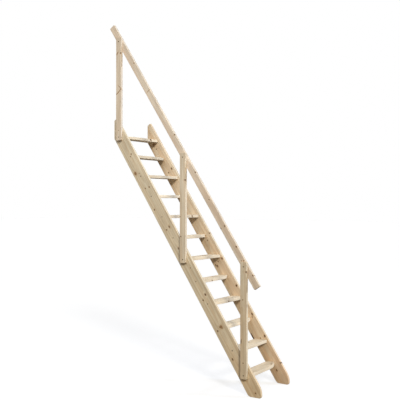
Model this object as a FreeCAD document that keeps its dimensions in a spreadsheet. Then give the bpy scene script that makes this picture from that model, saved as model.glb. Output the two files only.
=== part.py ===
import FreeCAD, Part
import os
import re
import Sketcher

# A pine ship ladder: two sloping side boards, twelve alternating paddle treads that each
# turn on one bolt at either end, and a handrail on three plumb posts on the left side.
# Millimetres, Z up, X to the climber's right, Y the way the ladder climbs. The origin is in
# the middle of the level cut under the left side board.

V = FreeCAD.Vector
doc = FreeCAD.newDocument("ship_ladder")
sheet = doc.addObject("Spreadsheet::Sheet", "sizes")

TREAD_COUNT = 12
POST_TREADS = {"bottom_post": 1, "middle_post": 6, "top_post": 12}

SIZES = {
    # overall layout
    "pitch_angle": 56.5,
    "step_rise": 215.0,
    "clear_width": 555.0,
    "running_gap": 0.5,
    # side boards
    "board_depth": 155.0,
    "board_thick": 30.0,
    "heel_back": 72.0,
    "heel_round": 50.0,
    "toe_height": 78.0,
    "toe_round": 150.0,
    "toe_corner": 20.0,
    "wall_gap": 15.0,
    "top_nose": 45.0,
    "board_ease": 2.0,
    # treads
    "tread_thick": 30.0,
    "tread_depth": 140.0,
    "sweep_length": 216.0,
    "sweep_depth": 58.0,
    "tread_ease": 3.0,
    # posts and handrail
    "post_width": 70.0,
    "post_thick": 30.0,
    "post_foot": 36.0,
    "post_top": 46.0,
    "post_corner": 12.0,
    "rail_height": 1040.0,
    "rail_depth": 70.0,
    "rail_thick": 30.0,
    "rail_low_end": 240.0,
    "rail_high_end": 220.0,
    "rail_ease": 2.5,
    # bolts, with their flush heads a little below the face of the wood
    "bolt_radius": 5.0,
    "bolt_play": 0.05,
    "bolt_sink": 1.0,
}
for row, (alias, value) in enumerate(SIZES.items(), start=1):
    sheet.set("A%d" % row, alias)
    sheet.set("B%d" % row, str(value))
    sheet.setAlias("B%d" % row, alias)

# Places worked out from the sizes above, so that every bolt, bore and board shares them.
PLACES = {
    "step_going": "=step_rise / tan(pitch_angle * 1deg)",
    "board_chord": "=board_depth / sin(pitch_angle * 1deg)",
    "first_bolt_z": "=step_rise - tread_thick / 2",
    "first_bolt_y": "=heel_back + first_bolt_z / tan(pitch_angle * 1deg) - board_chord / 2",
    "tread_length": "=clear_width - 2 * running_gap",
    "left_inner_x": "=board_thick / 2",
    "right_inner_x": "=left_inner_x + clear_width",
    "post_inner_x": "=-board_thick / 2 - running_gap",
    "rail_outer_x": "=post_inner_x + running_gap",
    "bore_radius": "=bolt_radius + bolt_play",
    "sweep_radius": "=(sweep_length * sweep_length + sweep_depth * sweep_depth) / (2 * sweep_depth)",
}
for row, (alias, formula) in enumerate(PLACES.items(), start=len(SIZES) + 2):
    sheet.set("A%d" % row, alias)
    sheet.set("B%d" % row, formula)
    sheet.setAlias("B%d" % row, alias)
doc.recompute()


# A second sheet works out the starting number of a rule, so that the first stays untouched.
sums = doc.addObject("Spreadsheet::Sheet", "sums")
ALIASES = re.compile(r"\b(" + "|".join(list(SIZES) + list(PLACES)) + r")\b")
KNOWN = {}


def cells(rule):
    """Write the sheet's name in front of every alias in a rule."""
    return ALIASES.sub(r"sizes.\1", rule)


def number(rule):
    """The number that a rule gives with the present sizes."""
    if rule not in KNOWN:
        sums.set("A1", "=" + cells(rule))
        sums.recompute()
        value = sums.get("A1")
        KNOWN[rule] = float(getattr(value, "Value", value))
    return KNOWN[rule]


def plane(body, role):
    return [item for item in body.Origin.OriginFeatures if item.Role == role][0]


def new_sketch(body, name, role):
    """A sketch on one of the body's own planes."""
    sketch = body.newObject("Sketcher::SketchObject", name)
    sketch.AttachmentSupport = [(plane(body, role), "")]
    sketch.MapMode = "FlatFace"
    return sketch


def fix(sketch, kind, geometry, corner, rule):
    """Hold one coordinate of a sketch point at an expression of the sheet."""
    value = number(rule)
    if abs(value) < 1e-9:
        axis = -1 if kind == "DistanceY" else -2
        sketch.addConstraint(Sketcher.Constraint("PointOnObject", geometry, corner, axis))
        return
    index = sketch.addConstraint(Sketcher.Constraint(kind, -1, 1, geometry, corner, value))
    sketch.setExpression("Constraints[%d]" % index, cells(rule))


def outline(sketch, corners):
    """A closed outline of straight lines through corners given as pairs of expressions."""
    points = [V(number(x), number(y), 0) for x, y in corners]
    count = len(points)
    for index in range(count):
        sketch.addGeometry(Part.LineSegment(points[index], points[(index + 1) % count]))
    for index in range(count):
        sketch.addConstraint(Sketcher.Constraint("Coincident", index, 2, (index + 1) % count, 1))
    for index, (x, y) in enumerate(corners):
        fix(sketch, "DistanceX", index, 1, x)
        fix(sketch, "DistanceY", index, 1, y)


def circle(sketch, x, y, radius):
    """A circle whose centre and radius follow expressions of the sheet."""
    index = sketch.addGeometry(Part.Circle(V(number(x), number(y), 0), V(0, 0, 1), number(radius)))
    fix(sketch, "DistanceX", index, 3, x)
    fix(sketch, "DistanceY", index, 3, y)
    bend = sketch.addConstraint(Sketcher.Constraint("Radius", index, number(radius)))
    sketch.setExpression("Constraints[%d]" % bend, cells(radius))


def pad(body, sketch, name, length):
    feature = body.newObject("PartDesign::Pad", name)
    feature.Profile = sketch
    feature.Length = number(length)
    feature.setExpression("Length", cells(length))
    doc.recompute()
    return feature


def drill(body, sketch, name, length):
    """Holes of the given length along +X, checked to have taken material away."""
    before = body.Shape.Volume
    feature = body.newObject("PartDesign::Pocket", name)
    feature.Profile = sketch
    feature.Length = number(length)
    feature.setExpression("Length", cells(length))
    feature.Reversed = True
    doc.recompute()
    if body.Shape.Volume > before - 1.0:
        raise RuntimeError(name + " cuts nothing")
    return feature


def dress(body, kind, name, base, test, rule):
    """A fillet or chamfer on the edges of the last feature whose middle and way pass a test."""
    edges = []
    for index, edge in enumerate(base.Shape.Edges, start=1):
        halfway = (edge.FirstParameter + edge.LastParameter) / 2
        if test(edge.valueAt(halfway), edge.tangentAt(halfway)):
            edges.append("Edge%d" % index)
    feature = body.newObject("PartDesign::" + kind, name)
    feature.Base = (base, edges)
    target = "Radius" if kind == "Fillet" else "Size"
    setattr(feature, target, number(rule))
    feature.setExpression(target, cells(rule))
    doc.recompute()
    return feature


def round_a_face(middle, way):
    """True for the edges that run round the two broad faces of a board set on edge."""
    return abs(way.x) < 0.01


def place(body, x, y, z):
    """Put a body at a point whose coordinates follow expressions of the sheet."""
    body.Placement = FreeCAD.Placement(V(number(x), number(y), number(z)), FreeCAD.Rotation())
    for axis, rule in zip("xyz", (x, y, z)):
        body.setExpression("Placement.Base." + axis, cells(rule))
    doc.recompute()


def bolt_y(step):
    return "first_bolt_y + %d * step_going" % (step - 1)


def bolt_z(step):
    return "first_bolt_z + %d * step_rise" % (step - 1)


# Side boards. Each foot has a level cut, a rounded heel and a rounded, trimmed toe. Each top
# has a plumb cut that bears on the upper floor's edge, below what is left of its square end.
SIN = "sin(pitch_angle * 1deg)"
COS = "cos(pitch_angle * 1deg)"
TAN = "tan(pitch_angle * 1deg)"
TOE_Y = "heel_back - board_chord + toe_height / " + TAN
WALL_Y = bolt_y(TREAD_COUNT) + " + tread_depth / 2 + wall_gap"
NOSE_Y = WALL_Y + " - top_nose * " + SIN
NOSE_Z = "(" + NOSE_Y + " - heel_back + board_chord) * " + TAN


def side_board(name, x_rule):
    body = doc.addObject("PartDesign::Body", name)
    face = new_sketch(body, name + "_outline", "YZ_Plane")
    outline(face, [
        ("heel_back", "0"),
        (WALL_Y, "(" + WALL_Y + " - heel_back) * " + TAN),
        (WALL_Y, NOSE_Z + " - top_nose * " + COS),
        (NOSE_Y, NOSE_Z),
        (TOE_Y, "toe_height"),
        (TOE_Y, "0"),
    ])
    heel = V(0, number("heel_back"), 0)
    toe = V(0, number(TOE_Y), 0)
    knee = V(0, number(TOE_Y), number("toe_height"))

    def corner(point):
        """A test for the edge that runs through the board at one corner of its outline."""
        return lambda middle, way: abs(way.x) > 0.99 and V(0, middle.y, middle.z).isEqual(point, 0.1)

    last = pad(body, face, name + "_board", "board_thick")
    last = dress(body, "Fillet", name + "_heel", last, corner(heel), "heel_round")
    last = dress(body, "Fillet", name + "_toe_corner", last, corner(toe), "toe_corner")
    last = dress(body, "Fillet", name + "_toe", last, corner(knee), "toe_round")
    dress(body, "Chamfer", name + "_eased", last, round_a_face, "board_ease")
    holes = new_sketch(body, name + "_bolt_holes", "YZ_Plane")
    for step in range(1, TREAD_COUNT + 1):
        circle(holes, bolt_y(step), bolt_z(step), "bore_radius")
    drill(body, holes, name + "_drilled", "board_thick")
    place(body, x_rule, "0", "0")


side_board("left_stringer", "-board_thick / 2")
side_board("right_stringer", "right_inner_x")


# Treads. Each is a board with one front corner swept away in an arc, right and left in turn.
# The body sits with its own origin at the back left corner of the underside.
def tread(step):
    name = "tread_%02d" % step
    body = doc.addObject("PartDesign::Body", name)
    plan = new_sketch(body, name + "_outline", "XY_Plane")
    if step % 2:
        corners = [("0", "0"), ("0", "-tread_depth"), ("tread_length - sweep_length", "-tread_depth"),
                   ("tread_length", "sweep_depth - tread_depth"), ("tread_length", "0")]
        swept = 2
    else:
        corners = [("0", "0"), ("0", "sweep_depth - tread_depth"), ("sweep_length", "-tread_depth"),
                   ("tread_length", "-tread_depth"), ("tread_length", "0")]
        swept = 1
    points = [V(number(x), number(y), 0) for x, y in corners]
    centre_x = points[2].x
    centre = V(centre_x, number("sweep_radius - tread_depth"), 0)
    count = len(points)
    for index in range(count):
        start = points[index]
        end = points[(index + 1) % count]
        if index == swept:
            out = (start + end) * 0.5 - centre
            plan.addGeometry(Part.Arc(start, centre + out.normalize() * number("sweep_radius"), end))
        else:
            plan.addGeometry(Part.LineSegment(start, end))
    for index in range(count):
        plan.addConstraint(Sketcher.Constraint("Coincident", index, 2, (index + 1) % count, 1))
    # every corner is held as the end of the line or arc that runs into it
    for index, (x, y) in enumerate(corners):
        fix(plan, "DistanceX", (index - 1) % count, 2, x)
        fix(plan, "DistanceY", (index - 1) % count, 2, y)
    bend = plan.addConstraint(Sketcher.Constraint("Radius", swept, number("sweep_radius")))
    plan.setExpression("Constraints[%d]" % bend, cells("sweep_radius"))
    board = pad(body, plan, name + "_board", "tread_thick")
    dress(body, "Chamfer", name + "_eased", board,
          lambda middle, way: abs(way.z) < 0.01 and abs(way.x) > 0.5, "tread_ease")
    place(body, "left_inner_x + running_gap", bolt_y(step) + " + tread_depth / 2",
          bolt_z(step) + " - tread_thick / 2")


for step in range(1, TREAD_COUNT + 1):
    tread(step)


# Posts. Each hangs on the bolt of one tread, outside the left board, and carries the rail on
# its inner side. The body sits with its lower bore on the axis of that bolt.
def post(name, step):
    body = doc.addObject("PartDesign::Body", name)
    face = new_sketch(body, name + "_outline", "YZ_Plane")
    outline(face, [
        ("-post_width / 2", "-post_foot"),
        ("post_width / 2", "-post_foot"),
        ("post_width / 2", "rail_height + post_top"),
        ("-post_width / 2", "rail_height + post_top"),
    ])
    last = pad(body, face, name + "_bar", "post_thick")
    last = dress(body, "Fillet", name + "_corners", last,
                 lambda middle, way: abs(way.x) > 0.99, "post_corner")
    dress(body, "Chamfer", name + "_eased", last, round_a_face, "rail_ease")
    bores = new_sketch(body, name + "_bores", "YZ_Plane")
    circle(bores, "0", "0", "bore_radius")
    circle(bores, "0", "rail_height", "bore_radius")
    drill(body, bores, name + "_bored", "post_thick")
    place(body, "post_inner_x - post_thick", bolt_y(step), bolt_z(step))


for name, step in POST_TREADS.items():
    post(name, step)


# Handrail. A plain board along the slope on the inner side of the posts, square at both ends.
# The body sits with its own origin on the axis of its lowest bolt.
def rail_corner(along, out):
    """A point of the rail from its lowest bolt: along the slope, and square out from it."""
    return ("(%s) * %s - (%s) * %s" % (along, COS, out, SIN),
            "(%s) * %s + (%s) * %s" % (along, SIN, out, COS))


TOP_BOLT = "%d * step_rise / %s" % (POST_TREADS["top_post"] - POST_TREADS["bottom_post"], SIN)
rail = doc.addObject("PartDesign::Body", "handrail")
rail_face = new_sketch(rail, "handrail_outline", "YZ_Plane")
outline(rail_face, [
    rail_corner("-rail_low_end", "-rail_depth / 2"),
    rail_corner(TOP_BOLT + " + rail_high_end", "-rail_depth / 2"),
    rail_corner(TOP_BOLT + " + rail_high_end", "rail_depth / 2"),
    rail_corner("-rail_low_end", "rail_depth / 2"),
])
rail_bar = pad(rail, rail_face, "handrail_bar", "rail_thick")
dress(rail, "Chamfer", "handrail_eased", rail_bar, round_a_face, "rail_ease")
place(rail, "rail_outer_x", bolt_y(POST_TREADS["bottom_post"]),
      bolt_z(POST_TREADS["bottom_post"]) + " + rail_height")


# Bolts. Each is screwed tight into the end of a tread, or into the rail, and turns in a hole
# through the side board and the post. Its shank starts at the wood that it is screwed into.
def bolt(name, start_x, end_x, y, z):
    pin = doc.addObject("Part::Cylinder", name)
    pin.Radius = number("bolt_radius")
    pin.setExpression("Radius", cells("bolt_radius"))
    length = "(%s) - (%s)" % (end_x, start_x)
    pin.Height = number(length)
    pin.setExpression("Height", cells(length))
    pin.Placement = FreeCAD.Placement(V(number(start_x), number(y), number(z)),
                                      FreeCAD.Rotation(V(0, 1, 0), 90))
    for axis, rule in zip("xyz", (start_x, y, z)):
        pin.setExpression("Placement.Base." + axis, cells(rule))
    return pin


BOARD_HEAD = "-board_thick / 2 + bolt_sink"
POST_HEAD = "post_inner_x - post_thick + bolt_sink"
TREAD_LEFT_END = "left_inner_x + running_gap"
TREAD_RIGHT_END = "right_inner_x - running_gap"
RIGHT_HEAD = "right_inner_x + board_thick - bolt_sink"
bolts = {}
for step in range(1, TREAD_COUNT + 1):
    name = "tread_%02d_bolts" % step
    left_head = POST_HEAD if step in POST_TREADS.values() else BOARD_HEAD
    bolts[name] = [
        bolt(name + "_left", left_head, TREAD_LEFT_END, bolt_y(step), bolt_z(step)),
        bolt(name + "_right", TREAD_RIGHT_END, RIGHT_HEAD, bolt_y(step), bolt_z(step)),
    ]
bolts["rail_bolts"] = [
    bolt(name + "_rail_bolt", POST_HEAD, "rail_outer_x", bolt_y(step), bolt_z(step) + " + rail_height")
    for name, step in POST_TREADS.items()
]
for name, pins in bolts.items():
    doc.addObject("Part::Compound", name).Links = pins

doc.recompute()
for item in doc.Objects:
    if "Invalid" in item.State or "Error" in item.State:
        raise RuntimeError(item.Name + " did not compute: " + str(item.State))

NODES = ["left_stringer", "right_stringer"]
NODES += ["tread_%02d" % step for step in range(1, TREAD_COUNT + 1)]
NODES += list(POST_TREADS) + ["handrail"]
NODES += list(bolts)
os.makedirs("parts", exist_ok=True)
for name in NODES:
    node = doc.getObject(name)
    if node.Shape.isNull() or not node.Shape.isValid():
        raise RuntimeError(name + " is not a sound solid")
    node.Shape.exportStep("parts/%s.step" % name)
    box = node.Shape.BoundBox
    print("%-18s solids %2d  volume %.0f  x %.1f..%.1f  y %.1f..%.1f  z %.1f..%.1f" % (
        name, len(node.Shape.Solids), node.Shape.Volume, box.XMin, box.XMax,
        box.YMin, box.YMax, box.ZMin, box.ZMax))
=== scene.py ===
import math
import random

import bpy
from mathutils import Matrix, Vector
from mathutils.geometry import tessellate_polygon


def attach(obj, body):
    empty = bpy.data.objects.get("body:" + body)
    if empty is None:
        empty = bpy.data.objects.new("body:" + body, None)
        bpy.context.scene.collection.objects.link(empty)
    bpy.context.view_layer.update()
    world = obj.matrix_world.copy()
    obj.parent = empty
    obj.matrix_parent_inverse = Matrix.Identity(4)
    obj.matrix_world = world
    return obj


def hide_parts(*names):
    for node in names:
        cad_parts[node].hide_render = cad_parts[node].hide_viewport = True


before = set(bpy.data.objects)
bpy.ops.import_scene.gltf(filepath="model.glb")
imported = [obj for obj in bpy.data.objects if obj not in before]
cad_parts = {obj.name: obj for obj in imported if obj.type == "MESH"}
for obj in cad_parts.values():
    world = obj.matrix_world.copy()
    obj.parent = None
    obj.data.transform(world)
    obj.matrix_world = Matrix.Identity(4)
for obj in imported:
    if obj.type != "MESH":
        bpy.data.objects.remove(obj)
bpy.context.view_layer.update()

# Side boards: two planed pine boards on edge, one at either side of the treads. Each foot is sawn
# level with a rounded heel and toe, each top is cut plumb against the upper floor, and a hole is
# drilled through for every tread's bolt, with its mouth opened out for the flush head.
MM = 0.001
PITCH = math.radians(56.5)
STEPS = 12
RISE = 215.0
GOING = RISE / math.tan(PITCH)
LEFT_BOARD_X = 0.0
RIGHT_BOARD_X = 585.0
BOARD_DEPTH = 155.0
BOARD_THICK = 30.0
BOARD_CHORD = BOARD_DEPTH / math.sin(PITCH)
BOARD_EASE = 2.5
HEEL_Y = 72.0
HEEL_ROUND = 50.0
TOE_HEIGHT = 78.0
TOE_ROUND = 150.0
TOE_CORNER = 20.0
NOSE = 45.0
TOP_CORNER = 4.0
TREAD_DEPTH = 140.0
WALL_GAP = 15.0
FIRST_BOLT_Z = 200.0
FIRST_BOLT_Y = HEEL_Y + FIRST_BOLT_Z / math.tan(PITCH) - BOARD_CHORD / 2
HEAD_MOUTH = 6.6
MOUTH_EASE = 0.5
ROUND_BITS = 24
ARC_STEP = 6.0
LEAST_ARC_BITS = 4


def bolt_spot(step):
    """Where the bolt of one tread sits, as Y and Z in millimetres."""
    return Vector((FIRST_BOLT_Y, FIRST_BOLT_Z)) + Vector((GOING, RISE)) * (step - 1)


def rounded(corners):
    """An outline through corners (x, y, radius, ease), each turned with its radius.

    The ease is how far the edges that follow the corner are rounded over. Every point comes
    back as (x, y, its outward way, ease).
    """
    points = []
    count = len(corners)
    for index, (x, y, radius, ease) in enumerate(corners):
        before = Vector(corners[index - 1][:2])
        after = Vector(corners[(index + 1) % count][:2])
        here = Vector((x, y))
        into = (here - before).normalized()
        away = (after - here).normalized()
        turn = math.atan2(into.x * away.y - into.y * away.x, into.dot(away))
        start = here - into * radius * math.tan(turn / 2)
        centre = start + Vector((-into.y, into.x)) * radius
        bits = max(LEAST_ARC_BITS, round(math.degrees(turn) / ARC_STEP))
        last_ease = corners[index - 1][3]
        for bit in range(bits + 1):
            share = bit / bits
            way = Vector((into.y, -into.x))
            way.rotate(Matrix.Rotation(turn * share, 2))
            spot = centre + way * radius
            points.append((spot.x, spot.y, way, last_ease + (ease - last_ease) * share))
    return points


def hole(x, y):
    """A bolt's hole through a board, run the other way about so that the wood is outside it."""
    points = []
    for bit in range(ROUND_BITS):
        way = Vector((1.0, 0.0))
        way.rotate(Matrix.Rotation(-2 * math.pi * bit / ROUND_BITS, 2))
        points.append((x + way.x * HEAD_MOUTH, y + way.y * HEAD_MOUTH, -way, MOUTH_EASE))
    return points


def planed_board(name, outline, thick, holes=(), rings=4):
    """A board lying in its own XY plane, with its edges rounded over and holes right through."""
    spots, ways, faces = [], [], []
    caps = {1: [], -1: []}
    for loop in (outline, *holes):
        size = len(loop)
        rows = []
        for side in (1, -1):
            turns = range(rings + 1) if side == 1 else range(rings, -1, -1)
            for turn in turns:
                lean = math.pi / 2 * turn / rings
                rows.append(len(spots))
                for x, y, way, ease in loop:
                    inset = ease * (1 - math.sin(lean))
                    drop = ease * (1 - math.cos(lean))
                    spots.append((x - way.x * inset, y - way.y * inset, side * (thick / 2 - drop)))
                    ways.append(Vector((way.x * math.sin(lean), way.y * math.sin(lean),
                                        side * math.cos(lean))))
        for upper, lower in zip(rows, rows[1:]):
            for bit in range(size):
                after = (bit + 1) % size
                faces.append((upper + bit, lower + bit, lower + after, upper + after))
        caps[1].append(range(rows[0], rows[0] + size))
        caps[-1].append(range(rows[-1], rows[-1] + size))
    for side, cap in caps.items():
        flat = [index for loop in cap for index in loop]
        edges = [[Vector(spots[index][:2] + (0.0,)) for index in loop] for loop in cap]
        for tri in tessellate_polygon(edges):
            a, b, c = (Vector(spots[flat[corner]][:2]) for corner in tri)
            clockwise = (b - a).cross(c - a) < 0
            ordered = tri if clockwise == (side < 0) else tri[::-1]
            faces.append(tuple(flat[corner] for corner in ordered))
    mesh = bpy.data.meshes.new(name)
    mesh.from_pydata([Vector(spot) * MM for spot in spots], [], faces)
    mesh.polygons.foreach_set("use_smooth", [True] * len(mesh.polygons))
    mesh.normals_split_custom_set_from_vertices([way.normalized() for way in ways])
    board = bpy.data.objects.new(name, mesh)
    bpy.context.scene.collection.objects.link(board)
    return board


def lay(board, spot, along, across):
    """Set a board down with its own X and Y running along and across, and its origin at a spot."""
    out = along.cross(across)
    turned = Matrix((along, across, out)).transposed().to_4x4()
    set_down = Matrix.Translation(Vector(spot) * MM) @ turned
    board.data.transform(set_down)
    return set_down


class Grain:
    """Pine as a solid: rings round a pith that runs beside the board, bent round its knots.

    Lengths are in millimetres along, across and through the board. What is uneven in the wood is
    given by how many times it changes in a millimetre, in each of those three ways.
    """

    # every board is sawn from another place in the tree, up to so many centimetres off
    PLACES = 40
    CM = 10
    # the stem is never quite straight, and the edges of its knots waver
    STEM_DRIFT = (0.0011, 0.005, 0.005)
    STEM_DRIFT_REACH = (0.0, 34.0, 30.0)
    WAVER = (0.02, 0.06, 0.06)
    WAVER_REACH = (5.0, 5.0, 2.0)
    MEAN_NOISE = (0.5, 0.5, 0.5)
    NOISE_LOW = 0.25
    NOISE_HIGH = 0.75
    # rings: the taper of the stem, wide and narrow years, and the late wood that ends a year
    TAPER = (0.008, 0.014)
    YEAR_WIDTHS = (0.0, 0.03, 0.03)
    YEAR_WIDTHS_REACH = 2.2
    LATE_WOOD = [(0.0, 0.10), (0.08, 0.0), (0.50, 0.10), (0.86, 0.85), (0.95, 1.0), (1.0, 0.10)]
    LEAN_RUNS = 0.21
    LEAN_LOT = 9.0
    LEAN_YEARS = [(0.42, 0.0), (0.64, 1.0)]
    # colour: warm flushes, clouds, fibres, flecks of resin, how far up painted warm shade goes
    FLUSHES = (0.0010, 0.020, 0.03)
    FLUSHED = [(0.40, 0.0), (0.62, 1.0)]
    CLOUDS = (0.004, 0.02, 0.02)
    FIBRES = (0.03, 1.3, 1.3)
    FLECKS = (0.05, 0.7, 0.7)
    FLECKED = [(0.70, 0.0), (0.78, 1.0)]
    RESIN = (0.42, 0.25, 0.12)
    FOOT_SHADE_FULL = 100.0
    FOOT_SHADE_NONE = 700.0
    # knots: a big or slanting one is sound and red-brown, with rings of its own, and a smaller
    # one is dead and nearly black; the wood round both is stained, and the rings swell past them
    SOUND_SIZE = 10.0
    SLANT_ALONG = (0.2, 0.5)
    SLANT_ACROSS = (-0.25, 0.25)
    EDGE_KNOT_FADE = 0.3
    NO_KNOT = 9.0
    SWELLING = 9.0
    STAINED = (0.55, 0.345, 0.175)
    SOUND_RINGS = 3.6
    SOUND_HEART = [(0.36, 0.205, 0.100), (0.22, 0.115, 0.052)]
    DEAD_RINGS = 2.4
    DEAD_HEART = [(0.150, 0.080, 0.040), (0.085, 0.044, 0.024)]
    BARK = (0.070, 0.036, 0.020)
    BARK_LINE = [(0.78, 0.0), (0.95, 1.0), (1.0, 0.0)]
    # cuts and skin: sawn ends, what counts as facing a way, the sheen and the ribs of planed wood
    SAWN_END = (0.52, 0.36, 0.20)
    SQUARE_ON = [(0.80, 0.0), (0.97, 1.0)]
    LATE_SHEEN = 0.06
    KNOT_SHEEN = 0.20
    FIBRE_RIB = 0.55
    LATE_RIB = 0.30
    BARK_CRACK = 0.55
    RIB_HEIGHT = 0.5
    RIB_STRENGTH = 0.30
    SHINE = 0.15
    # the colour sockets of a mix node, whose sockets of other kinds have the same names
    FIRST_COLOUR = 6
    SECOND_COLOUR = 7
    MIXED_COLOUR = 2

    def __init__(self, name, set_down, seed, pale, tan, flush, knots, edge_knots=(),
                 pith=(12.0, -58.0), ring=3.2, streaks=0.5, foot_shade=None, edge=None):
        self.finish = bpy.data.materials.new(name)
        self.finish.use_nodes = True
        self.tree = self.finish.node_tree
        self.tree.nodes.clear()
        self.luck = random.Random(seed)
        self.shift = Vector([self.luck.uniform(-self.PLACES, self.PLACES) for _ in range(3)])

        # the grain keeps to the board's own directions, however the board is set down
        self.place = self.add("ShaderNodeTexCoord")
        on_bench = self.add("ShaderNodeMapping", self.place.outputs["Object"],
                            vector_type="TEXTURE")
        on_bench.inputs["Location"].default_value = set_down.to_translation()
        on_bench.inputs["Rotation"].default_value = set_down.to_euler()
        self.wood = self.vector("MULTIPLY", on_bench.outputs["Vector"], (1 / MM, 1 / MM, 1 / MM))
        self.spot = self.add("ShaderNodeSeparateXYZ", self.wood)

        self.find_knots(knots, edge_knots)
        self.grow_rings(pith, ring)
        colour = self.colour_wood(pale, tan, flush, streaks, foot_shade)
        colour = self.colour_knots(colour)
        colour = self.colour_cuts(colour, set_down, edge)
        self.plane(colour)

    def find_knots(self, knots, edge_knots):
        """How far off the nearest dead knot, the nearest sound one and the nearest of all are."""
        waver = self.noise(self.wood, self.WAVER, lot=0.7, detail=2.0)
        waver = self.vector("SUBTRACT", waver.outputs["Color"], self.MEAN_NOISE)
        wavy = self.vector("ADD", self.wood, self.vector("MULTIPLY", waver, self.WAVER_REACH))
        # branches leave the stem at a slant, so a knot is a little further on at the other face
        deep = self.spot.outputs["Z"]
        along = self.sum("MULTIPLY", deep, self.luck.uniform(*self.SLANT_ALONG))
        across = self.sum("MULTIPLY", deep, self.luck.uniform(*self.SLANT_ACROSS))
        slant = self.add("ShaderNodeCombineXYZ", along, across, 0.0)
        slanted = self.vector("ADD", wavy, slant.outputs["Vector"])
        sound = [knot for knot in knots if knot[2] >= self.SOUND_SIZE or len(knot) > 4]
        dead = [knot for knot in knots if knot not in sound]
        self.dead = self.knot_reach(slanted, dead, edge_knots)
        self.sound = self.knot_reach(slanted, sound)
        self.reach = self.sum("MINIMUM", self.dead, self.sound)

    def grow_rings(self, pith, ring):
        """The years outwards from the pith, and the darker late wood at the end of each."""
        drift = self.noise(self.wood, self.STEM_DRIFT, lot=1.0, detail=2.0)
        drift = self.vector("SUBTRACT", drift.outputs["Color"], self.MEAN_NOISE)
        drift = self.vector("MULTIPLY", drift, self.STEM_DRIFT_REACH)
        self.stem = self.vector("ADD", self.wood, drift)
        stem_spot = self.add("ShaderNodeSeparateXYZ", self.stem)
        beside = self.sum("SUBTRACT", stem_spot.outputs["Y"], pith[0])
        above = self.sum("SUBTRACT", stem_spot.outputs["Z"], pith[1])
        off_pith = self.add("ShaderNodeCombineXYZ", 0.0, beside, above)
        radius = self.length(off_pith.outputs["Vector"])
        lean = self.luck.choice((-1, 1)) * self.luck.uniform(*self.TAPER)
        radius = self.sum("ADD", radius, self.sum("MULTIPLY", stem_spot.outputs["X"], lean))
        swelling = self.ease_off(self.reach, full=1.0, none=3.4)
        radius = self.sum("ADD", radius, self.sum("MULTIPLY", swelling, self.SWELLING))
        years = self.sum("DIVIDE", radius, ring)
        widths = self.noise(self.wood, self.YEAR_WIDTHS, lot=1.3, detail=1.0).outputs["Fac"]
        self.years = self.sum("ADD", years, self.sum("MULTIPLY", widths, self.YEAR_WIDTHS_REACH))
        late = self.ramp(self.sum("FRACT", self.years, 0.0), self.LATE_WOOD)
        year = self.add("ShaderNodeTexWhiteNoise", noise_dimensions="1D")
        self.tree.links.new(self.sum("FLOOR", self.years, 0.0), year.inputs["W"])
        strong = self.span(year.outputs["Value"], low=0.35, high=1.0)
        self.late = self.sum("MULTIPLY", late, strong)

    def colour_wood(self, pale, tan, flush, streaks, foot_shade):
        """Pale early and tan late wood, streaks where lean years follow on, and warm flushes."""
        colour = self.blend(self.late, pale, tan, most=0.60)
        lean = self.add("ShaderNodeTexNoise", noise_dimensions="1D")
        lot = self.sum("ADD", self.years, self.shift.x * self.LEAN_LOT)
        self.tree.links.new(self.sum("MULTIPLY", lot, self.LEAN_RUNS), lean.inputs["W"])
        lean.inputs["Scale"].default_value = 1.0
        lean.inputs["Detail"].default_value = 2.0
        lean_years = self.ramp(lean.outputs["Fac"], self.LEAN_YEARS)
        colour = self.blend(lean_years, colour, tan, most=streaks)
        warm = self.noise(self.stem, self.FLUSHES, lot=1.9, detail=3.0)
        warm = self.ramp(warm.outputs["Fac"], self.FLUSHED)
        colour = self.blend(warm, colour, flush, most=0.6)
        clouds = self.noise(self.wood, self.CLOUDS, lot=0.4, detail=3.0)
        colour = self.shade(colour, self.span(clouds.outputs["Fac"], low=0.86, high=1.14))
        self.fibre = self.noise(self.wood, self.FIBRES, lot=1.0, detail=3.0).outputs["Fac"]
        colour = self.shade(colour, self.span(self.fibre, low=0.90, high=1.10))
        fleck = self.noise(self.wood, self.FLECKS, lot=2.3, detail=1.0)
        fleck = self.ramp(fleck.outputs["Fac"], self.FLECKED)
        colour = self.blend(fleck, colour, self.RESIN, most=0.35)
        if foot_shade:
            # painted shade: a side board is darker and warmer at its foot, under dimmer, warmer light
            low = self.ease_off(self.spot.outputs["X"], self.FOOT_SHADE_FULL, self.FOOT_SHADE_NONE)
            colour = self.blend(low, colour, self.vector("MULTIPLY", colour, foot_shade))
        return colour

    def colour_knots(self, colour):
        """Stained wood round the knots, their ringed hearts, and a thin line of bark about them."""
        halo = self.ease_off(self.reach, full=0.9, none=2.4)
        colour = self.blend(halo, colour, self.STAINED, most=0.40)
        rings = self.sum("FRACT", self.sum("MULTIPLY", self.sound, self.SOUND_RINGS), 0.0)
        sound_core = self.ease_off(self.sound, full=0.86, none=1.08)
        colour = self.blend(sound_core, colour, self.blend(rings, *self.SOUND_HEART), most=0.88)
        rings = self.sum("FRACT", self.sum("MULTIPLY", self.dead, self.DEAD_RINGS), 0.0)
        dead_core = self.ease_off(self.dead, full=0.88, none=1.15)
        colour = self.blend(dead_core, colour, self.blend(rings, *self.DEAD_HEART), most=0.94)
        self.core = self.sum("MAXIMUM", sound_core, dead_core)
        self.bark = self.ramp(self.reach, self.BARK_LINE)
        return self.blend(self.bark, colour, self.BARK, most=0.62)

    def colour_cuts(self, colour, set_down, edge):
        """Narrow edges are tinted for rings cut another way and for painted light; sawn ends drink
        more light.
        """
        along, across, _ = set_down.to_3x3().col
        if edge:
            cut = self.vector("MULTIPLY", colour, edge)
            colour = self.blend(self.facing(across), colour, cut)
        return self.blend(self.facing(along), colour, self.SAWN_END, most=0.45)

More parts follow.
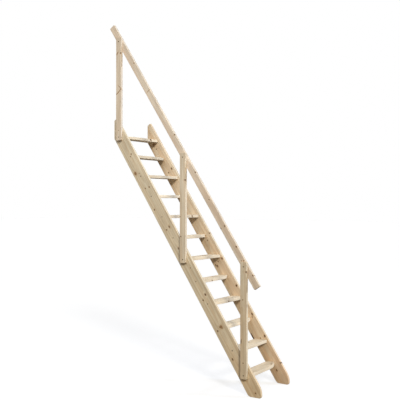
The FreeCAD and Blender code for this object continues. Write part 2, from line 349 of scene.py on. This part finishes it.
    def plane(self, colour):
        """The planed skin: dull, smoother on late wood and on knots, and faintly ribbed."""
        gloss = self.span(self.fibre, low=0.66, high=0.84)
        gloss = self.sum("SUBTRACT", gloss, self.sum("MULTIPLY", self.late, self.LATE_SHEEN))
        gloss = self.sum("SUBTRACT", gloss, self.sum("MULTIPLY", self.core, self.KNOT_SHEEN))
        height = self.sum("MULTIPLY", self.fibre, self.FIBRE_RIB)
        height = self.sum("ADD", height, self.sum("MULTIPLY", self.late, self.LATE_RIB))
        height = self.sum("SUBTRACT", height, self.sum("MULTIPLY", self.bark, self.BARK_CRACK))
        skin = self.add("ShaderNodeBsdfPrincipled")
        skin.inputs["Specular IOR Level"].default_value = self.SHINE
        self.tree.links.new(colour, skin.inputs["Base Color"])
        self.tree.links.new(gloss, skin.inputs["Roughness"])
        relief = self.add("ShaderNodeBump")
        relief.inputs["Strength"].default_value = self.RIB_STRENGTH
        relief.inputs["Distance"].default_value = self.RIB_HEIGHT * MM
        self.tree.links.new(height, relief.inputs["Height"])
        self.tree.links.new(relief.outputs["Normal"], skin.inputs["Normal"])
        done = self.add("ShaderNodeOutputMaterial")
        self.tree.links.new(skin.outputs["BSDF"], done.inputs["Surface"])

    def add(self, kind, *inputs, **settings):
        """A node with its settings, its first sockets linked to others or set to plain values."""
        made = self.tree.nodes.new(kind)
        for key, value in settings.items():
            setattr(made, key, value)
        for socket, value in zip(made.inputs, inputs):
            if isinstance(value, bpy.types.NodeSocket):
                self.tree.links.new(value, socket)
            else:
                socket.default_value = value
        return made

    def vector(self, rule, first, second):
        """Two colours or places, put together by a rule."""
        return self.add("ShaderNodeVectorMath", first, second, operation=rule).outputs["Vector"]

    def length(self, way):
        """How long a way is."""
        return self.add("ShaderNodeVectorMath", way, operation="LENGTH").outputs["Value"]

    def sum(self, rule, first, second):
        """Two levels, put together by a rule."""
        return self.add("ShaderNodeMath", first, second, operation=rule).outputs["Value"]

    def span(self, value, low, high):
        """The middle half of a noise, spread from a low level to a high one."""
        made = self.add("ShaderNodeMapRange", value, self.NOISE_LOW, self.NOISE_HIGH, low, high)
        return made.outputs["Result"]

    def ease_off(self, value, full, none):
        """One inside a reach, nought beyond another, and a soft fall between them."""
        made = self.add("ShaderNodeMapRange", value, full, none, 1.0, 0.0,
                        interpolation_type="SMOOTHSTEP")
        return made.outputs["Result"]

    def facing(self, way):
        """One where the wood faces along a way or against it, and nought where it is turned off."""
        made = self.add("ShaderNodeVectorMath", self.place.outputs["Normal"], way,
                        operation="DOT_PRODUCT")
        return self.ramp(self.sum("ABSOLUTE", made.outputs["Value"], 0.0), self.SQUARE_ON)

    def noise(self, where, stretch, lot, detail):
        """Uneven wood, changing so often each way; each lot is taken from another place."""
        spot = self.vector("ADD", where, tuple(self.shift * lot * self.CM))
        made = self.add("ShaderNodeTexNoise", self.vector("MULTIPLY", spot, stretch))
        made.inputs["Scale"].default_value = 1.0
        made.inputs["Detail"].default_value = detail
        return made

    def ramp(self, value, stops):
        """Grey levels at places from nought to one."""
        made = self.add("ShaderNodeValToRGB", value)
        marks = made.color_ramp.elements
        while len(marks) < len(stops):
            marks.new(0.5)
        for mark, (spot, level) in zip(marks, stops):
            mark.position = spot
            mark.color = (level, level, level, 1.0)
        return made.outputs["Color"]

    def blend(self, share, first, second, most=1.0):
        """Goes from a first to a second colour, by a share of at most so much."""
        if most < 1.0:
            share = self.sum("MULTIPLY", share, most)
        made = self.add("ShaderNodeMix", data_type="RGBA")
        self.tree.links.new(share, made.inputs["Factor"])
        for index, value in ((self.FIRST_COLOUR, first), (self.SECOND_COLOUR, second)):
            if isinstance(value, bpy.types.NodeSocket):
                self.tree.links.new(value, made.inputs[index])
            else:
                made.inputs[index].default_value = (*value, 1.0)
        return made.outputs[self.MIXED_COLOUR]

    def shade(self, colour, level):
        """A colour made lighter or darker by a level."""
        made = self.add("ShaderNodeVectorMath", colour, operation="SCALE")
        self.tree.links.new(level, made.inputs["Scale"])
        return made.outputs["Vector"]

    def knot_reach(self, wood, knots, edge_knots=()):
        """How far off the nearest knot is, where one is the knot's own edge.

        A knot on the wide faces is (along, across, size, how long for its size, and its turn in
        degrees if it has one); one that comes out at an edge is (along, across, deep, size, long).
        """
        nearest = self.NO_KNOT
        for x, y, size, long, *turn in knots:
            off = self.vector("SUBTRACT", wood, (x, y, 0.0))
            if turn:
                turned = self.add("ShaderNodeVectorRotate", off, rotation_type="Z_AXIS")
                turned.inputs["Angle"].default_value = math.radians(-turn[0])
                off = turned.outputs["Vector"]
            nearest = self.nearer(nearest, off, (1 / (size * long), 1 / size, 0.0))
        for x, y, z, size, long in edge_knots:
            off = self.vector("SUBTRACT", wood, (x, y, z))
            shape = (1 / (size * long), self.EDGE_KNOT_FADE / size, 1 / size)
            nearest = self.nearer(nearest, off, shape)
        return nearest

    def nearer(self, nearest, off, shape):
        """The nearest knot so far, or this one of a given shape if it is nearer."""
        return self.sum("MINIMUM", nearest, self.length(self.vector("MULTIPLY", off, shape)))


SLOPE = Vector((0.0, math.cos(PITCH), math.sin(PITCH)))
OFF_SLOPE = Vector((0.0, -math.sin(PITCH), math.cos(PITCH)))
BOARD_MIDDLE_Y = HEEL_Y - BOARD_CHORD / 2


def on_board(y, z):
    """A point of the ladder's side, as millimetres along a side board and across it."""
    off = Vector((0.0, y - BOARD_MIDDLE_Y, z))
    return off.dot(SLOPE), off.dot(OFF_SLOPE)


TOE_Y = HEEL_Y - BOARD_CHORD + TOE_HEIGHT / math.tan(PITCH)
WALL_Y = bolt_spot(STEPS).x + TREAD_DEPTH / 2 + WALL_GAP
NOSE_Y = WALL_Y - NOSE * math.sin(PITCH)
NOSE_Z = (NOSE_Y - HEEL_Y + BOARD_CHORD) * math.tan(PITCH)
board_outline = rounded([
    (*on_board(HEEL_Y, 0.0), HEEL_ROUND, BOARD_EASE),
    (*on_board(WALL_Y, (WALL_Y - HEEL_Y) * math.tan(PITCH)), TOP_CORNER, BOARD_EASE),
    (*on_board(WALL_Y, NOSE_Z - NOSE * math.cos(PITCH)), TOP_CORNER, BOARD_EASE),
    (*on_board(NOSE_Y, NOSE_Z), TOP_CORNER, BOARD_EASE),
    (*on_board(TOE_Y, TOE_HEIGHT), TOE_ROUND, BOARD_EASE),
    (*on_board(TOE_Y, 0.0), TOE_CORNER, BOARD_EASE),
])
board_holes = [hole(*on_board(*bolt_spot(step))) for step in range(1, STEPS + 1)]

# knots as millimetres along the board and across it from its middle, their size, how long they
# are for their size, and the turn in degrees of those that lie askew
LEFT_BOARD_KNOTS = [
    (2829, 25, 7, 1.2), (2620, -43, 15, 1.3), (2593, 1, 4, 1.3), (2395, 32, 7, 1.2),
    (2410, -20, 6, 1.2), (2155, -42, 7, 1.2), (1903, 24, 7, 1.8), (1894, -22, 6, 1.2),
    # the dark knot at 1656 along, just behind the middle post, is painted shadow of that post
    (1656, -1, 6, 2.0), (1413, 17, 5, 1.2), (1100, 27, 8, 1.6), (1066, -27, 7, 1.3),
    (745, 14, 14, 1.2), (733, 22, 5, 2.4, 20), (729, -42, 8, 1.1), (421, -41, 6, 2.2),
    (41, 10, 6, 1.2),
]
RIGHT_BOARD_KNOTS = [
    (3032, -20, 16, 1.1), (2973, -14, 6, 1.2), (2658, 41, 8, 1.6), (2642, -18, 7, 1.2),
    (1770, 70, 7, 1.2), (1719, 7, 6, 1.3), (1455, 58, 10, 1.4), (1452, -2, 6, 1.4),
    (1415, -37, 6, 2.4), (1434, -52, 5, 3.0), (1120, 55, 9, 1.4), (776, 56, 8, 1.8),
    (750, 40, 4, 4.0, 25), (580, -70, 8, 5.0), (513, 63, 9, 1.3), (518, 6, 5, 1.5),
    (202, 74, 6, 1.2), (156, -6, 6, 2.0),
]
# another way, partly painted light
# the edge colour of each side board tints its narrow edges cooler: partly the rings cut
# the foot colour of each side board darkens and warms it low down: painted shade
LEFT_BOARD_WOOD = dict(
    seed=11, knots=LEFT_BOARD_KNOTS, streaks=0.62,
    pale=(0.81, 0.75, 0.62), tan=(0.555, 0.42, 0.26), flush=(0.67, 0.54, 0.39),
    foot_shade=(0.98, 0.91, 0.83), edge=(0.945, 0.99, 1.06),
)
RIGHT_BOARD_WOOD = dict(
    seed=23, knots=RIGHT_BOARD_KNOTS, streaks=0.45,
    pale=(0.80, 0.71, 0.58), tan=(0.60, 0.425, 0.27), flush=(0.72, 0.545, 0.385),
    foot_shade=(0.97, 0.89, 0.84), edge=(0.93, 0.98, 1.05),
)
SIDE_BOARDS = {
    "left_stringer": (LEFT_BOARD_X, LEFT_BOARD_WOOD),
    "right_stringer": (RIGHT_BOARD_X, RIGHT_BOARD_WOOD),
}
for node, (x, wood) in SIDE_BOARDS.items():
    board = planed_board(node + "_board", board_outline, BOARD_THICK, board_holes)
    set_down = lay(board, (x, BOARD_MIDDLE_Y, 0.0), SLOPE, OFF_SLOPE)
    board.data.materials.append(Grain(node + "_pine", set_down, **wood).finish)
    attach(board, "stringers")
    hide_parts(node)

# Treads: twelve level pine boards between the side boards, one bolt in the middle of either end.
# Each has one front corner swept away in a long curve, right and left in turn, so that a foot
# always has a full-depth tread to stand on. Their long edges are well rounded over.
PLAY = 0.5
TREAD_LENGTH = RIGHT_BOARD_X - LEFT_BOARD_X - BOARD_THICK - 2 * PLAY
TREAD_MIDDLE_X = (LEFT_BOARD_X + RIGHT_BOARD_X) / 2
TREAD_THICK = 30.0
TREAD_CORNER = 6.0
LONG_EDGE_EASE = 4.0
END_EASE = 1.0
SWEEP_LENGTH = 100.2
SWEEP_DEPTH = 58.0
SWEEP_RADIUS = 412.0
TREAD_PALE = (0.82, 0.76, 0.66)
TREAD_TAN = (0.62, 0.485, 0.33)
TREAD_FLUSH = (0.74, 0.64, 0.51)
TREAD_STREAKS = 0.35
# each tread is made a little lighter or darker by its share; on treads 10 and 11 this is
# painted shade, for the dimmer light that falls on them
TREAD_SHADES = {1: 0.96, 2: 0.97, 3: 1.05, 7: 1.04, 9: 1.08, 10: 0.90, 11: 0.87}
TREAD_PITH = (20.0, -75.0)
PITH_SHIFT = 7.0
TREAD_RING = 2.6
RING_GAIN = 0.25
TREAD_KNOTS = {
    1: [(180, -30, 9, 1.3)], 2: [(-190, -40, 8, 1.5), (60, 20, 6, 1.2)], 3: [(150, 30, 7, 1.3)],
    4: [(230, 20, 6, 1.0)], 5: [(60, 30, 11, 1.3)], 6: [(80, 30, 8, 1.3)],
    7: [(-120, 10, 8, 1.4), (200, -20, 6, 1.2)], 8: [(-60, 20, 6, 1.6)], 9: [(-200, 40, 7, 1.3)],
    10: [(120, -10, 9, 1.4)], 11: [(-60, 25, 8, 1.3)], 12: [(-130, 30, 8, 1.3)],
}
TREAD_EDGE_KNOTS = {
    4: [(-20, -70, -3, 7, 1.3)], 5: [(-113, -70, -3, 7, 1.3)], 8: [(148, -70, 0, 9, 1.3)],
    12: [(142, -70, 4, 12, 1.1)],
}


def toned(colour, tint):
    """A wood colour made lighter, darker or warmer, which paints light and shade on posts and some
    treads.
    """
    return tuple(level * share for level, share in zip(colour, tint))


def tread_plan(step):
    """A tread from above, with its right front corner swept away if its number is odd."""
    half, deep = TREAD_LENGTH / 2, TREAD_DEPTH / 2
    swept_y = SWEEP_DEPTH - deep
    if step % 2:
        front = [(-half, -deep, TREAD_CORNER, LONG_EDGE_EASE),
                 (half - SWEEP_LENGTH, -deep, SWEEP_RADIUS, LONG_EDGE_EASE),
                 (half, swept_y, TREAD_CORNER, END_EASE)]
    else:
        front = [(-half, swept_y, TREAD_CORNER, LONG_EDGE_EASE),
                 (SWEEP_LENGTH - half, -deep, SWEEP_RADIUS, LONG_EDGE_EASE),
                 (half, -deep, TREAD_CORNER, END_EASE)]
    back = [(half, deep, TREAD_CORNER, LONG_EDGE_EASE), (-half, deep, TREAD_CORNER, END_EASE)]
    return rounded(front + back)


for step in range(1, STEPS + 1):
    node = "tread_%02d" % step
    board = planed_board(node + "_board", tread_plan(step), TREAD_THICK)
    y, z = bolt_spot(step)
    set_down = lay(board, (TREAD_MIDDLE_X, y, z), Vector((1.0, 0.0, 0.0)), Vector((0.0, 1.0, 0.0)))
    # treads that follow one another are sawn from other places of the stem
    pith_across, pith_below = TREAD_PITH
    shade = (TREAD_SHADES.get(step, 1.0),) * 3
    pine = Grain(
        node + "_pine", set_down, seed=100 + step, streaks=TREAD_STREAKS,
        pale=toned(TREAD_PALE, shade), tan=toned(TREAD_TAN, shade), flush=toned(TREAD_FLUSH, shade),
        knots=TREAD_KNOTS[step], edge_knots=TREAD_EDGE_KNOTS.get(step, ()),
        pith=(pith_across - PITH_SHIFT * (step % 5), pith_below),
        ring=TREAD_RING + RING_GAIN * (step % 4),
    )
    board.data.materials.append(pine.finish)
    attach(board, "lowest_tread" if step == 1 else node)
    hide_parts(node)

# Posts: three plumb pine bars on the outer side of the left board, each on the bolt of one tread
# and with a second bolt through the handrail. Their corners are rounded and their edges eased.
POSTS = {"bottom_post": 1, "middle_post": 6, "top_post": 12}
POST_WIDTH = 70.0
POST_THICK = 30.0
POST_FOOT = 36.0
POST_TOP = 46.0
POST_CORNER = 12.0
POST_EASE = 3.0
POST_MIDDLE_X = LEFT_BOARD_X - BOARD_THICK / 2 - PLAY - POST_THICK / 2
RAIL_HEIGHT = 1040.0
POST_PALE = (0.81, 0.74, 0.635)
POST_TAN = (0.56, 0.425, 0.285)
POST_FLUSH = (0.67, 0.545, 0.415)
# narrow faces paler and cooler: partly the rings cut another way, partly painted light
POST_EDGE_TINT = (1.04, 1.08, 1.14)
# as the light falls dimmer and warmer low down and brighter and cooler high up
# painted light: the bottom post is made darker and warmer and the top one lighter and cooler,
POST_PAINTED_LIGHT = {
    "bottom_post": (0.94, 0.925, 0.875),
    "middle_post": (1.0, 1.0, 0.99),
    "top_post": (1.02, 1.02, 1.05),
}
POST_PITH = (-22.0, 44.0)
POST_RING = 2.8
POST_KNOTS = {
    "bottom_post": [(116, -5, 5, 1.2), (322, -27, 4, 6.0), (720, -8, 4, 1.4)],
    "middle_post": [(229, -22, 6, 1.2), (430, -33, 5, 1.5)],
    "top_post": [(547, 9, 3.5, 4.5, -47), (531, 24, 3.5, 3.5, -34), (516, 29, 4, 2.5, 8),
                 (502, 18, 4, 4.0, 48), (486, 0, 4, 4.5, 51), (469, -22, 4, 5.0, 55),
                 (910, -16, 4, 5.5, 34), (70, -2, 4, 1.2)],
}
POST_EDGE_KNOTS = {
    "bottom_post": [(988, 35, -11, 6, 1.5), (665, 35, -6, 4, 5.0)],
    "middle_post": [(804, 35, -12, 5, 1.4)],
    "top_post": [(908, 35, -12, 5, 1.6)],
}


def bar_outline(low, high, width, corner, ease):
    """A straight bar from its low end to its high one, with four rounded corners."""
    half = width / 2
    corners = [(low, -half), (high, -half), (high, half), (low, half)]
    return rounded([(x, y, corner, ease) for x, y in corners])


post_outline = bar_outline(-POST_FOOT, RAIL_HEIGHT + POST_TOP, POST_WIDTH, POST_CORNER, POST_EASE)
post_holes = [hole(0.0, 0.0), hole(RAIL_HEIGHT, 0.0)]
for number, (node, step) in enumerate(POSTS.items()):
    bar = planed_board(node + "_bar", post_outline, POST_THICK, post_holes)
    y, z = bolt_spot(step)
    set_down = lay(bar, (POST_MIDDLE_X, y, z), Vector((0.0, 0.0, 1.0)), Vector((0.0, -1.0, 0.0)))
    # each post's colour is scaled by its painted light and shade
    tint = POST_PAINTED_LIGHT[node]
    pine = Grain(
        node + "_pine", set_down, seed=200 + number, edge=POST_EDGE_TINT,
        pale=toned(POST_PALE, tint), tan=toned(POST_TAN, tint), flush=toned(POST_FLUSH, tint),
        knots=POST_KNOTS[node], edge_knots=POST_EDGE_KNOTS[node], pith=POST_PITH, ring=POST_RING,
    )
    bar.data.materials.append(pine.finish)
    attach(bar, node)
    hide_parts(node)

# Handrail: one long planed pine board along the slope, on the inner side of the three posts and
# bolted to each of them. It is sawn square at both ends and its edges are rounded for the hand.
BOLT_SPACING = RISE / math.sin(PITCH)
RAIL_DEPTH = 70.0
RAIL_THICK = 30.0
RAIL_CORNER = 5.0
RAIL_EASE = 4.0
RAIL_BELOW_POSTS = 240.0
RAIL_BEYOND_POSTS = 220.0
RAIL_HIGH = (POSTS["top_post"] - POSTS["bottom_post"]) * BOLT_SPACING + RAIL_BEYOND_POSTS
RAIL_WOOD = dict(
    seed=301, pith=(16.0, 52.0), ring=2.6,
    pale=(0.80, 0.72, 0.625), tan=(0.565, 0.42, 0.30), flush=(0.69, 0.55, 0.44),
    # narrow faces cooler: partly the rings cut another way, partly painted light
    edge=(0.96, 1.02, 1.09),
    knots=[(2517, 23, 5, 1.4), (2142, 12, 3, 7.0, 81), (1080, 30, 5, 1.4), (757, 15, 5, 1.4),
           (441, 24, 6, 1.3), (445, -28, 6, 1.3), (203, 25, 6, 1.3), (61, -2, 4, 1.3),
           (48, 20, 4, 1.3), (-120, 30, 5, 1.3)],
    edge_knots=[(1550, 35, -11, 5, 1.5), (2700, 35, 4, 5, 1.4)],
)
rail_outline = bar_outline(-RAIL_BELOW_POSTS, RAIL_HIGH, RAIL_DEPTH, RAIL_CORNER, RAIL_EASE)
rail = planed_board("handrail_board", rail_outline, RAIL_THICK)
y, z = bolt_spot(POSTS["bottom_post"])
set_down = lay(rail, (LEFT_BOARD_X, y, z + RAIL_HEIGHT), SLOPE, OFF_SLOPE)
rail.data.materials.append(Grain("handrail_pine", set_down, **RAIL_WOOD).finish)
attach(rail, "handrail")
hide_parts("handrail")

# Bolts: steel screws turned tight into the treads' ends and into the rail, with flat heads let in
# flush and a six-sided socket for the key. The boards and posts turn on their plain shanks.
SHANK_RADIUS = 4.9
HEAD_RADIUS = 6.3
HEAD_EASE = 0.5
HEAD_RIM = 1.2
HEAD_DEEP = 3.0
HEAD_SINK = 0.3
SOCKET = 2.9
SOCKET_SIDES = 6
SOCKET_DEEP = 3.2
SOCKET_TAPER = 0.92
SOCKET_LIP = 0.3
FIRST_SPIN = 0.4
NEXT_SPIN = 1.3
STEEL_DARK = (0.10, 0.070, 0.042, 1.0)
STEEL_LIGHT = (0.30, 0.235, 0.150, 1.0)
STAINS_IN_A_METRE = 420.0
STAIN_DETAIL = 4.0
DARK_UP_TO = 0.3
LIGHT_FROM = 0.75
SMOOTH_STEEL = 0.35
ROUGH_STEEL = 0.60

bolt_steel = bpy.data.materials.new("browned_bolt_steel")
bolt_steel.use_nodes = True
steel = bolt_steel.node_tree
skin = steel.nodes["Principled BSDF"]
skin.inputs["Metallic"].default_value = 1.0
place = steel.nodes.new("ShaderNodeTexCoord")
stain = steel.nodes.new("ShaderNodeTexNoise")
stain.inputs["Scale"].default_value = STAINS_IN_A_METRE
stain.inputs["Detail"].default_value = STAIN_DETAIL
steel.links.new(place.outputs["Object"], stain.inputs["Vector"])
browned = steel.nodes.new("ShaderNodeValToRGB")
browned.color_ramp.elements[0].color = STEEL_DARK
browned.color_ramp.elements[1].color = STEEL_LIGHT
browned.color_ramp.elements[0].position = DARK_UP_TO
browned.color_ramp.elements[1].position = LIGHT_FROM
steel.links.new(stain.outputs["Fac"], browned.inputs["Fac"])
steel.links.new(browned.outputs["Color"], skin.inputs["Base Color"])
dull = steel.nodes.new("ShaderNodeMapRange")
dull.inputs["To Min"].default_value = SMOOTH_STEEL
dull.inputs["To Max"].default_value = ROUGH_STEEL
steel.links.new(stain.outputs["Fac"], dull.inputs["Value"])
steel.links.new(dull.outputs["Result"], skin.inputs["Roughness"])


def turned_bolt(head_x, tip_x, y, z, spin):
    """Rings of one bolt along X, from the floor of its socket out over the head to its tip."""
    into = 1.0 if tip_x > head_x else -1.0
    profile = [
        (head_x + SOCKET_DEEP * into, SOCKET * SOCKET_TAPER, True),
        (head_x + SOCKET_LIP * into, SOCKET, True),
        (head_x, SOCKET + SOCKET_LIP, True),
        (head_x, HEAD_RADIUS - HEAD_EASE, False),
        (head_x + HEAD_EASE * into, HEAD_RADIUS, False),
        (head_x + HEAD_RIM * into, HEAD_RADIUS, False),
        (head_x + HEAD_DEEP * into, SHANK_RADIUS, False),
        (tip_x, SHANK_RADIUS, False),
    ]
    side_bits = ROUND_BITS // SOCKET_SIDES
    rings = []
    for x, radius, six_sided in profile:
        ring = []
        for bit in range(ROUND_BITS):
            turn = spin + bit * 2 * math.pi / ROUND_BITS
            reach = radius
            if six_sided:
                off_middle = (bit % side_bits) * 2 * math.pi / ROUND_BITS - math.pi / SOCKET_SIDES
                reach = radius / math.cos(off_middle)
            ring.append((x, y + reach * math.cos(turn), z + reach * math.sin(turn)))
        rings.append(ring)
    return rings, into


def bolt_set(name, bolts, body, node):
    """The bolts (head X, tip X, Y, Z) that stand for one node, as one steel piece on its body."""
    spots, faces = [], []
    for number, (head_x, tip_x, y, z) in enumerate(bolts):
        rings, into = turned_bolt(head_x, tip_x, y, z, FIRST_SPIN + NEXT_SPIN * number)
        first = len(spots)
        for ring in rings:
            spots.extend(ring)
        for row in range(len(rings) - 1):
            for bit in range(ROUND_BITS):
                a = first + row * ROUND_BITS + bit
                b = first + row * ROUND_BITS + (bit + 1) % ROUND_BITS
                face = (a, b, b + ROUND_BITS, a + ROUND_BITS)
                faces.append(face if into < 0 else face[::-1])
        socket_floor = tuple(range(first, first + ROUND_BITS))
        tip = tuple(range(len(spots) - ROUND_BITS, len(spots)))
        faces.append(socket_floor[::-1] if into < 0 else socket_floor)
        faces.append(tip if into < 0 else tip[::-1])
    mesh = bpy.data.meshes.new(name)
    mesh.from_pydata([Vector(spot) * MM for spot in spots], [], faces)
    piece = bpy.data.objects.new(name, mesh)
    bpy.context.scene.collection.objects.link(piece)
    mesh.materials.append(bolt_steel)
    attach(piece, body)
    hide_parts(node)


post_head_x = POST_MIDDLE_X - POST_THICK / 2 + HEAD_SINK
left_head_x = LEFT_BOARD_X - BOARD_THICK / 2 + HEAD_SINK
right_head_x = RIGHT_BOARD_X + BOARD_THICK / 2 - HEAD_SINK
left_end_x = TREAD_MIDDLE_X - TREAD_LENGTH / 2
right_end_x = TREAD_MIDDLE_X + TREAD_LENGTH / 2
rail_face_x = LEFT_BOARD_X - RAIL_THICK / 2
for step in range(1, STEPS + 1):
    y, z = bolt_spot(step)
    outer_x = post_head_x if step in POSTS.values() else left_head_x
    node = "tread_%02d_bolts" % step
    bolts = [(outer_x, left_end_x, y, z), (right_head_x, right_end_x, y, z)]
    bolt_set(node + "_steel", bolts, "lowest_tread" if step == 1 else "tread_%02d" % step, node)
rail_bolts = []
for step in POSTS.values():
    y, z = bolt_spot(step)
    rail_bolts.append((post_head_x, rail_face_x, y, z + RAIL_HEIGHT))
bolt_set("rail_bolts_steel", rail_bolts, "handrail", "rail_bolts")

# Floor: a plain white floor that runs out of sight, half a millimetre under the feet. To the eye
# it glows by itself as well, so that it is as white as the surround and takes only faint shadows.
FLOOR_REACH = 60.0
FLOOR_LEVEL = -0.0005
FLOOR_BOUNCE = (0.16, 0.137, 0.105, 1.0)
FLOOR_SEEN = (0.37, 0.405, 0.49, 1.0)
FLOOR_GLOW = (0.698, 0.693, 0.677, 1.0)
floor_corners = []
for x, y in ((-1, -1), (1, -1), (1, 1), (-1, 1)):
    floor_corners.append((x * FLOOR_REACH, y * FLOOR_REACH, FLOOR_LEVEL))
floor_mesh = bpy.data.meshes.new("studio_floor")
floor_mesh.from_pydata(floor_corners, [], [(0, 1, 2, 3)])
studio_floor = bpy.data.objects.new("studio_floor", floor_mesh)
bpy.context.scene.collection.objects.link(studio_floor)


def in_sight(tree, rays):
    """One for rays that come from the camera, or from it off a shiny piece or through a clear one."""
    seen = rays.outputs["Is Camera Ray"]
    for way in ("Is Glossy Ray", "Is Transmission Ray"):
        either = tree.nodes.new("ShaderNodeMath")
        either.operation = "MAXIMUM"
        tree.links.new(seen, either.inputs[0])
        tree.links.new(rays.outputs[way], either.inputs[1])
        seen = either.outputs["Value"]
    return seen


floor_paint = bpy.data.materials.new("white_floor")
floor_paint.use_nodes = True
paint = floor_paint.node_tree
paint.nodes.clear()
rays = paint.nodes.new("ShaderNodeLightPath")
shaded = paint.nodes.new("ShaderNodeBsdfDiffuse")
tone = paint.nodes.new("ShaderNodeMix")
tone.data_type = "RGBA"
tone.inputs[Grain.FIRST_COLOUR].default_value = FLOOR_BOUNCE
tone.inputs[Grain.SECOND_COLOUR].default_value = FLOOR_SEEN
paint.links.new(rays.outputs["Is Camera Ray"], tone.inputs["Factor"])
paint.links.new(tone.outputs[Grain.MIXED_COLOUR], shaded.inputs["Color"])
glow = paint.nodes.new("ShaderNodeEmission")
glow.inputs["Color"].default_value = FLOOR_GLOW
paint.links.new(in_sight(paint, rays), glow.inputs["Strength"])
whole = paint.nodes.new("ShaderNodeAddShader")
paint.links.new(shaded.outputs["BSDF"], whole.inputs[0])
paint.links.new(glow.outputs["Emission"], whole.inputs[1])
done = paint.nodes.new("ShaderNodeOutputMaterial")
paint.links.new(whole.outputs["Shader"], done.inputs["Surface"])
floor_mesh.materials.append(floor_paint)

# Surround: white to the eye all round, like the paper of a photographer's studio. What it lends
# to the wood itself is dimmer and warmer.
SURROUND_FILL = (1.0, 0.83, 0.61, 1.0)
SURROUND_FILL_STRENGTH = 0.27
SURROUND_SEEN = (1.0, 1.0, 1.0, 1.0)
surround = bpy.data.worlds.new("white_surround")
bpy.context.scene.world = surround
surround.use_nodes = True
air = surround.node_tree
air.nodes.clear()
dim = air.nodes.new("ShaderNodeBackground")
dim.inputs["Color"].default_value = SURROUND_FILL
dim.inputs["Strength"].default_value = SURROUND_FILL_STRENGTH
white = air.nodes.new("ShaderNodeBackground")
white.inputs["Color"].default_value = SURROUND_SEEN
white.inputs["Strength"].default_value = 1.0
both = air.nodes.new("ShaderNodeMixShader")
rays = air.nodes.new("ShaderNodeLightPath")
air.links.new(in_sight(air, rays), both.inputs["Fac"])
air.links.new(dim.outputs["Background"], both.inputs[1])
air.links.new(white.outputs["Background"], both.inputs[2])
out = air.nodes.new("ShaderNodeOutputWorld")
air.links.new(both.outputs["Shader"], out.inputs["Surface"])

# Lamps: four soft ones. Two broad ones stand at the front right and the front left, a small one
# hangs high on the left, and a weak one behind keeps the backs of the boards from going dark.
LADDER_MIDDLE = Vector((0.3, 0.9, 1.6))


def lamp(name, kind, spot, aim, strength, softness, colour):
    """A lamp at a spot, turned to a point of the ladder.

    Its softness is degrees across for a far lamp, and metres across for a near one.
    """
    light = bpy.data.lights.new(name, kind)
    light.energy = strength
    light.color = colour
    if kind == "SUN":
        light.angle = math.radians(softness)
    else:
        light.shape = "SQUARE"
        light.size = softness
    holder = bpy.data.objects.new(name, light)
    holder.location = spot
    holder.rotation_mode = "QUATERNION"
    holder.rotation_quaternion = (Vector(aim) - Vector(spot)).to_track_quat("-Z", "Y")
    holder.visible_camera = False
    bpy.context.scene.collection.objects.link(holder)


lamp("right_lamp", "SUN", spot=LADDER_MIDDLE + Vector((4.6, -8.0, 3.7)), aim=LADDER_MIDDLE,
     strength=1.88, softness=14.0, colour=(0.805, 0.89, 1.0))
lamp("left_lamp", "SUN", spot=LADDER_MIDDLE + Vector((-5.0, -6.1, 5.0)), aim=LADDER_MIDDLE,
     strength=1.86, softness=11.0, colour=(1.0, 0.905, 0.72))
lamp("upper_lamp", "AREA", spot=(-3.5, 0.5, 4.0), aim=(0.0, 1.2, 2.2),
     strength=57.0, softness=2.0, colour=(0.87, 0.94, 1.0))
lamp("back_lamp", "SUN", spot=LADDER_MIDDLE + Vector((6.0, 7.0, 1.9)), aim=LADDER_MIDDLE,
     strength=0.95, softness=20.0, colour=(1.0, 0.97, 0.92))

# Camera: level with the middle of the ladder and off to its front left, with a slightly long
# lens. Its place, turn and tilt are those that bring the boards where the photograph has them.
CAMERA_SPOT = Vector((-5.58218, -3.10482, 1.84927))
CAMERA_TURN = math.radians(-56.1476)
CAMERA_TILT = math.radians(0.26114)
FOCAL_PIXELS = 668.44
PICTURE_PIXELS = 400.0
SENSOR_WIDTH = 36.0
lens = bpy.data.cameras.new("camera")
lens.sensor_width = SENSOR_WIDTH
lens.lens = FOCAL_PIXELS / PICTURE_PIXELS * SENSOR_WIDTH
camera = bpy.data.objects.new("camera", lens)
camera.location = CAMERA_SPOT
camera.rotation_mode = "QUATERNION"
look = Vector((-math.sin(CAMERA_TURN) * math.cos(CAMERA_TILT),
               math.cos(CAMERA_TURN) * math.cos(CAMERA_TILT),
               math.sin(CAMERA_TILT)))
camera.rotation_quaternion = look.to_track_quat("-Z", "Y")
bpy.context.scene.collection.objects.link(camera)
bpy.context.scene.camera = camera
bpy.context.scene.view_settings.view_transform = "Standard"
